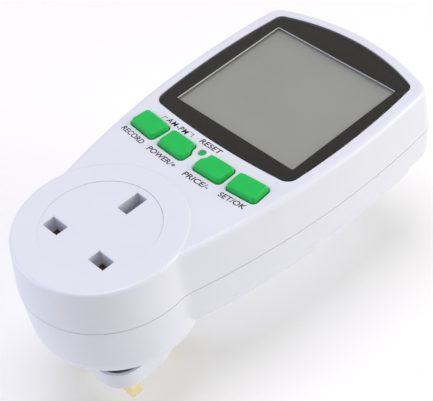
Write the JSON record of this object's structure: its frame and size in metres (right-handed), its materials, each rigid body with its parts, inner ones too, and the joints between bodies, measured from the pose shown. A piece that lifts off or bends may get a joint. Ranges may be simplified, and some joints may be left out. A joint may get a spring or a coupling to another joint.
{
  "type": "plug-in power meter",
  "caption": "Plug-in energy meter for a three-pin wall outlet, with a pass-through socket on a round head, a large display and push keys.",
  "frame": {"origin": "midway between the live and neutral pins, on the face of the plug that rests against the wall outlet", "axes": "+Z points out of the front, away from the wall; +Y runs from the socket head towards the display end; +X is to the right seen from the front"},
  "size_m": [0.0768, 0.1511, 0.0723],
  "materials": {
    "shell": "satin moulded ABS, white with a faint lavender cast",
    "plug": "satin moulded thermoset, white",
    "pin_brass": "bright drawn brass",
    "sleeve": "black insulating sleeve",
    "screw": "zinc-plated steel",
    "insert": "satin moulded plastic, white",
    "shutter": "smooth white plastic",
    "spring": "spring steel wire",
    "carrier": "natural moulded plastic",
    "contact": "rolled brass strip",
    "wire_brown": "brown insulated wire",
    "wire_blue": "blue insulated wire",
    "lens": "clear moulded window",
    "mask": "black printed border",
    "lcd": "grey-green liquid crystal glass",
    "frame_plastic": "black moulded frame",
    "zebra": "layered silicone and carbon strip",
    "board": "green glass-epoxy board",
    "chip": "black moulded epoxy",
    "can": "plain steel",
    "key_rubber": "green silicone rubber",
    "pill": "carbon-loaded silicone",
    "shunt": "resistance alloy strip",
    "film_cap": "dipped film capacitor case",
    "can_sleeve": "shrink sleeve on an aluminium can",
    "varistor": "blue epoxy coating",
    "diode": "black moulded epoxy",
    "resistor": "cement-coated resistor",
    "wrap": "green shrink sleeve",
    "header": "black moulded header",
    "header_metal": "plated brass pins"
  },
  "bodies": {
    "case": {"front_cover": "shell", "back_cover": "shell", "plug_base": "plug", "live_pin": "pin_brass", "neutral_pin": "pin_brass", "earth_pin": "pin_brass", "pin_sleeves": "sleeve", "case_screws": "screw", "socket_faceplate": "insert", "shutter_spring": "spring", "contact_carrier": "carrier", "live_contact": "contact", "neutral_contact": "contact", "earth_contact": "contact", "neutral_strap": "contact", "earth_strap": "contact", "live_wire_in": "wire_brown", "live_wire_out": "wire_brown", "neutral_wire": "wire_blue", "display_lens": "lens", "display_mask": "mask", "lcd_panel": "lcd", "lcd_frame": "frame_plastic", "zebra_strips": "zebra", "display_board": "board", "display_controller": "chip", "clock_crystal": "can", "keypad_mat": "key_rubber", "web_reset": "key_rubber", "power_board": "board", "shunt_resistor": "shunt", "film_capacitor": "film_cap", "electrolytic_capacitor": "can_sleeve", "varistor": "varistor", "rectifier_diodes": "diode", "dropper_resistors": "resistor", "metering_chip": "chip", "chip_leads": "can", "battery_cells": "can", "battery_wrap": "wrap", "board_header": "header", "header_pins": "header_metal", "board_screws": "screw", "web_mode": "key_rubber", "web_up": "key_rubber", "web_down": "key_rubber", "web_set": "key_rubber"},
    "button_mode": {"key_mode": "key_rubber", "pill_mode": "pill"},
    "button_up": {"key_up": "key_rubber", "pill_up": "pill"},
    "button_down": {"key_down": "key_rubber", "pill_down": "pill"},
    "button_set": {"key_set": "key_rubber", "pill_set": "pill"},
    "button_reset": {"key_reset": "key_rubber", "pill_reset": "pill"},
    "shutter_plate": {"shutter": "shutter"}
  },
  "joints": [
    {"name": "press_mode", "type": "slide", "parent": "case", "child": "button_mode", "axis": [0, 0, -1], "range_m": [0, 0.0011], "stiffness_N_per_m": 400, "deforming": ["web_mode"]},
    {"name": "press_up", "type": "slide", "parent": "case", "child": "button_up", "axis": [0, 0, -1], "range_m": [0, 0.0011], "stiffness_N_per_m": 400, "deforming": ["web_up"]},
    {"name": "press_down", "type": "slide", "parent": "case", "child": "button_down", "axis": [0, 0, -1], "range_m": [0, 0.0011], "stiffness_N_per_m": 400, "deforming": ["web_down"]},
    {"name": "press_set", "type": "slide", "parent": "case", "child": "button_set", "axis": [0, 0, -1], "range_m": [0, 0.0011], "stiffness_N_per_m": 400, "deforming": ["web_set"]},
    {"name": "press_reset", "type": "slide", "parent": "case", "child": "button_reset", "axis": [0, 0, -1], "range_m": [0, 0.0011], "stiffness_N_per_m": 300, "deforming": ["web_reset"]},
    {"name": "shutter_slide", "type": "slide", "parent": "case", "child": "shutter_plate", "axis": [0, -1, 0], "range_m": [0, 0.0048], "stiffness_N_per_m": 120, "deforming": ["shutter_spring"]}
  ]
}
